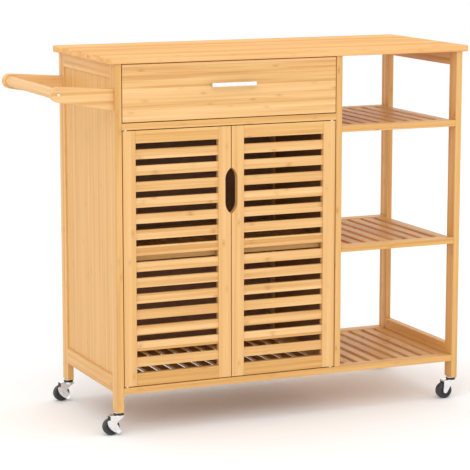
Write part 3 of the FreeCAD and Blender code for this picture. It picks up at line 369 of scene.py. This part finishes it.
FINISH = {
    "worktop": "top_x", "drawer_front": "front_x", "drawer_back": "front_x", "drawer_sides": "rails_y",
    "side_panel_left": "panel_left", "partition_panel": "panel_middle", "back_panel": "hardboard_and_painted_shade",
    "drawer_bottom": "hardboard_and_painted_shade", "side_rails_left": "rails_y", "side_rails_right": "rails_y",
    "partition_rails": "rails_y", "back_rail_top": "rails_x", "bottom_rail_front": "rails_x",
    "bottom_rail_rear": "rails_x", "drawer_rail_front": "rails_x", "floor_slats": "shaded_slats_y",
    "shelf_pins": "zinc", "magnetic_catches": "plastic",
    "drawer_runners_outer": "runner", "drawer_runners_inner": "runner", "runner_ball_cages": "runner",
    "caster_inserts": "zinc", "caster_stems": "zinc", "dowels": "rails_x", "handle_arm_front": "arms_x",
    "handle_arm_rear": "arms_x", "handle_bar": "bar_y", "handle_screws": "zinc", "drawer_pull": "pull",
    "drawer_pull_screws": "zinc",
}
for shelf in ("inner", "middle", "upper"):
    FINISH[f"{shelf}_shelf_rails"], FINISH[f"{shelf}_shelf_slats"] = "rails_x", "shaded_slats_y"
for side in ("left", "right"):
    FINISH[f"door_{side}_stiles"], FINISH[f"door_{side}_rails"] = "stiles_z", "rails_x"
    FINISH[f"door_{side}_slats"], FINISH[f"door_{side}_hardware"] = "slats_x", "zinc"
for end in ("front", "rear"):
    for side in ("left", "middle", "right"):
        FINISH[f"post_{end}_{side}"] = "posts_z"
for corner in CORNERS:
    FINISH[f"caster_fork_{corner}"], FINISH[f"caster_wheel_{corner}"] = "zinc", "rubber"
for corner in BRAKED_CORNERS:
    FINISH[f"caster_brake_{corner}"] = "zinc"

for name, node in nodes.items():
    node.data.materials.clear()
    node.data.materials.append(MATERIALS[FINISH[name]])


# ---------------------------------------------------------------- small hardware

def finished(name, bm, move, material, body):
    """A piece from its mesh: welded, facing outwards, in its place, with its finish and its body."""
    bmesh.ops.remove_doubles(bm, verts=bm.verts, dist=1e-6)
    bmesh.ops.recalc_face_normals(bm, faces=bm.faces)
    bmesh.ops.transform(bm, matrix=move, verts=bm.verts)
    mesh = bpy.data.meshes.new(name)
    bm.to_mesh(mesh)
    bm.free()
    piece = bpy.data.objects.new(name, mesh)
    bpy.context.scene.collection.objects.link(piece)
    mesh.materials.append(MATERIALS[material])
    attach(piece, body)


def lathe(bm, outline, steps):
    """A turned solid about Z from a closed outline of (radius, height) points."""
    verts = [bm.verts.new((r, 0, z)) for r, z in outline]
    edges = [bm.edges.new((a, b)) for a, b in zip(verts, verts[1:] + verts[:1])]
    bmesh.ops.spin(bm, geom=verts + edges, cent=(0, 0, 0), axis=(0, 0, 1), dvec=(0, 0, 0),
                   angle=math.tau, steps=steps, use_merge=True)


def block(bm, size, centre, bevel):
    """A small bevelled bar, added to a mesh. Returns its vertices."""
    others = set(bm.verts)
    made = bmesh.ops.create_cube(bm, size=1.0)["verts"]
    bmesh.ops.scale(bm, vec=size, verts=made)
    edges = [e for e in bm.edges if e.verts[0] in made]
    bmesh.ops.bevel(bm, geom=edges, offset=bevel, offset_type="OFFSET", segments=2, profile=0.5,
                    affect="EDGES", material=-1)
    verts = [v for v in bm.verts if v not in others]
    bmesh.ops.translate(bm, vec=centre, verts=verts)
    return verts


HEAD_TAPER = 0.8                      # top of a screw head against its foot
RECESS_INSET, RECESS_DEPTH = 0.38, 0.6    # shares of the head's radius and height


def screw_heads(name, places, radius, height, facing, body):
    """Tapered screw heads, each with a round recess, all turned to face one direction."""
    bm = bmesh.new()
    turn = Vector((0, 0, 1)).rotation_difference(Vector(facing)).to_matrix().to_4x4()
    for place in places:
        head = bmesh.new()
        bmesh.ops.create_cone(head, cap_ends=True, segments=24, radius1=radius, radius2=radius * HEAD_TAPER,
                              depth=height)
        top = max(head.faces, key=lambda f: f.calc_center_median().z)
        bmesh.ops.inset_individual(head, faces=[top], thickness=radius * RECESS_INSET)
        sunk = bmesh.ops.extrude_discrete_faces(head, faces=[top])["faces"][0]
        bmesh.ops.translate(head, vec=(0, 0, -height * RECESS_DEPTH), verts=sunk.verts)
        bmesh.ops.transform(head, matrix=Matrix.Translation(place) @ turn, verts=head.verts)
        mesh = bpy.data.meshes.new("head")
        head.to_mesh(mesh)
        head.free()
        bm.from_mesh(mesh)
        bpy.data.meshes.remove(mesh)
    finished(name, bm, Matrix.Identity(4), "zinc", body)


RING_INNER_R, RING_OUTER_R = 0.0081, 0.0125    # round the stem's collar
RING_HALF_T = 0.0015
RING_ROUNDING = ((0.0013, 1.0), (0.0003, 0.6))     # steps of the rim: how far in, and share of RING_HALF_T
RING_ABOVE_FORK = 0.0024              # middle of the ring above the fork


def dust_ring(corner):
    """Rubber ring with a rounded rim on the stem, over the fork."""
    bm = bmesh.new()
    above = [(RING_OUTER_R - inset, share * RING_HALF_T) for inset, share in reversed(RING_ROUNDING)]
    below = [(r, -z) for r, z in reversed(above)]
    lathe(bm, [(RING_INNER_R, -RING_HALF_T), *below, (RING_OUTER_R, 0.0), *above,
               (RING_INNER_R, RING_HALF_T)], steps=40)
    middle = pivots[f"swivel_{corner}_turn"] + Vector((0, 0, RING_ABOVE_FORK))
    finished(f"caster_dust_ring_{corner}", bm, Matrix.Translation(middle), "rubber", "frame")


SPOKES = 8
SPOKE = (0.0076, 0.0013, 0.0015)      # length, width and depth
SPOKE_FROM_AXLE = 0.0108              # to its middle
SPOKE_FROM_MIDDLE = 0.0077            # of the wheel's width
SPOKE_BEVEL = 0.0003
ALONG_Y = Matrix.Rotation(-math.pi / 2, 4, "X")


def wheel_spokes(corner):
    """Spokes in the recess of both faces of a wheel."""
    bm = bmesh.new()
    for face in (-1, 1):
        verts = block(bm, SPOKE, (SPOKE_FROM_AXLE, 0, face * SPOKE_FROM_MIDDLE), SPOKE_BEVEL)
        edges = [e for e in bm.edges if e.verts[0] in verts]
        faces = [f for f in bm.faces if f.verts[0] in verts]
        bmesh.ops.spin(bm, geom=verts + edges + faces, cent=(0, 0, 0), axis=(0, 0, 1), dvec=(0, 0, 0),
                       angle=math.tau * (SPOKES - 1) / SPOKES, steps=SPOKES - 1, use_duplicate=True)
    place = Matrix.Translation(pivots[f"wheel_{corner}_roll"]) @ ALONG_Y
    finished(f"wheel_spokes_{corner}", bm, place, "rubber", f"wheel_{corner}")


BRAKE_OFFSET = 0.0026                 # middle of the brake plate, forward of the axle and above it
BRAKE_BACK = 0.0121                   # back of the plate from the middle of the wheel's width
BRAKE_LEAN = math.radians(-46)        # the plate's long axis, from +X
RIDGE = (0.0006, 0.0080, 0.0009)      # along the plate, across it and out from it
RIDGE_ALONG = 0.0196                  # ridges' middle from the plate's, just past the foot tab's outer face
RIDGES_OUT = (0.0030, 0.0050, 0.0070)     # from the back of the plate
RIDGE_BEVEL = 0.0002


def brake_ridges(corner):
    """Three grip ridges across the foot tab of a brake plate."""
    bm = bmesh.new()
    for out in RIDGES_OUT:
        block(bm, RIDGE, (RIDGE_ALONG, 0, out), RIDGE_BEVEL)
    tipped = Matrix.Rotation(math.pi / 2, 4, "X") @ Matrix.Rotation(BRAKE_LEAN, 4, "Z")
    middle = pivots[f"wheel_{corner}_roll"] + Vector((BRAKE_OFFSET, -BRAKE_BACK, BRAKE_OFFSET))
    finished(f"brake_ridges_{corner}", bm, Matrix.Translation(middle) @ tipped, "zinc", f"brake_{corner}")


CATCH_HALF_W = 0.015
CATCH_SCREW_SPREAD = 0.010            # from a catch's middle
CATCH_SCREW = (0.0022, 0.0010)        # radius and height
CATCH_SCREW_PROUD = 0.0003            # middle of the head past the catch
STRIKE_SCREW = (0.0028, 0.0005)
STRIKE_DROP = 0.0010                  # strike plate's middle below the catch's
RUNNER_SCREW = (0.0032, 0.0010)
RUNNER_SCREW_OUT = 0.0014             # middle of the head from the drawer's side
RUNNER_SCREWS_Y = (-0.160, -0.010, 0.130)


def cabinet_screws():
    """Screws in the catches, the strike plates and the drawer's runners."""
    low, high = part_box("magnetic_catches")
    middle = (low + high) / 2
    catches = {"left": low.x + CATCH_HALF_W, "right": high.x - CATCH_HALF_W}
    screw_heads("catch_screws", [(x + d, middle.y, low.z - CATCH_SCREW_PROUD) for x in catches.values()
                                 for d in (-CATCH_SCREW_SPREAD, CATCH_SCREW_SPREAD)],
                *CATCH_SCREW, (0, 0, -1), "frame")
    for side, x in catches.items():
        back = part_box(f"door_{side}_hardware")[1].y
        screw_heads(f"strike_screw_{side}", [(x, back, middle.z - STRIKE_DROP)], *STRIKE_SCREW, (0, 1, 0),
                    f"{side}_door")
    low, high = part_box("drawer_runners_inner")
    runner_z = (low.z + high.z) / 2
    low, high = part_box("drawer_sides")
    for side, x, facing in (("left", low.x - RUNNER_SCREW_OUT, -1), ("right", high.x + RUNNER_SCREW_OUT, 1)):
        screw_heads(f"runner_screws_{side}", [(x, y, runner_z) for y in RUNNER_SCREWS_Y], *RUNNER_SCREW,
                    (facing, 0, 0), "drawer")


for corner in CORNERS:
    dust_ring(corner)
    wheel_spokes(corner)
    if corner in BRAKED_CORNERS:
        brake_ridges(corner)
cabinet_screws()


# ---------------------------------------------------------------- floor, light and camera

FLOOR_PALE, FLOOR_R = (0.95, 0.95, 0.95, 1), 40.0


def studio_floor_paint():
    """Matt pale paint, very faintly clouded."""
    material, t, shader, place = new_material("studio floor")
    cloud = t.math("MULTIPLY", t.noise(place, 3.0), 0.02)
    t.tree.links.new(t.mix(cloud, FLOOR_PALE, (1, 1, 1, 1)), shader.inputs["Base Color"])
    shader.inputs["Roughness"].default_value = 0.9
    shader.inputs["Specular IOR Level"].default_value = 0.0
    return material


bm = bmesh.new()
bmesh.ops.create_circle(bm, cap_ends=True, radius=FLOOR_R, segments=64)
floor_mesh = bpy.data.meshes.new("studio_floor")
bm.to_mesh(floor_mesh)
bm.free()
floor = bpy.data.objects.new("studio_floor", floor_mesh)
bpy.context.scene.collection.objects.link(floor)
floor_mesh.materials.append(studio_floor_paint())

HORIZON_LIGHT, ZENITH_LIGHT = 1.46, 0.86
world = bpy.data.worlds.new("studio")
bpy.context.scene.world = world
world.use_nodes = True
glow = Tree(world.node_tree)
upwards = glow.add("ShaderNodeTexCoord").outputs["Generated"]
height = glow.add("ShaderNodeSeparateXYZ", {0: upwards}).outputs["Z"]
sky = world.node_tree.nodes["Background"]
sky.inputs["Color"].default_value = (1, 1, 1, 1)
world.node_tree.links.new(glow.spread(height, 0.0, 1.0, HORIZON_LIGHT, ZENITH_LIGHT), sky.inputs["Strength"])


LIGHTS_AIM = Vector((0.0, 0.0, 0.4))


def softbox(name, place, size, power):
    """A square area light aimed at the cart, a little below its middle."""
    data = bpy.data.lights.new(name, "AREA")
    data.shape, data.size, data.energy = "SQUARE", size, power
    lamp = bpy.data.objects.new(name, data)
    bpy.context.scene.collection.objects.link(lamp)
    lamp.location = place
    lamp.rotation_euler = (LIGHTS_AIM - Vector(place)).to_track_quat("-Z", "Y").to_euler()


softbox("key", (-2.6, -3.8, 3.6), size=2.2, power=34)
softbox("overhead", (0.2, -0.4, 4.2), size=3.0, power=22)

bpy.context.scene.view_settings.view_transform = "Standard"

AZIMUTH, ELEVATION = math.radians(-23.59), math.radians(9.65)
camera = bpy.data.objects.new("camera", bpy.data.cameras.new("camera"))
bpy.context.scene.collection.objects.link(camera)
bpy.context.scene.camera = camera
camera.data.sensor_width = 36.0
camera.data.lens = 160.0
camera.location = (-2.0668, -4.7233, 1.3049)
camera.rotation_euler = (math.pi / 2 - ELEVATION, 0, AZIMUTH)
camera.data.clip_start, camera.data.clip_end = 0.05, 200
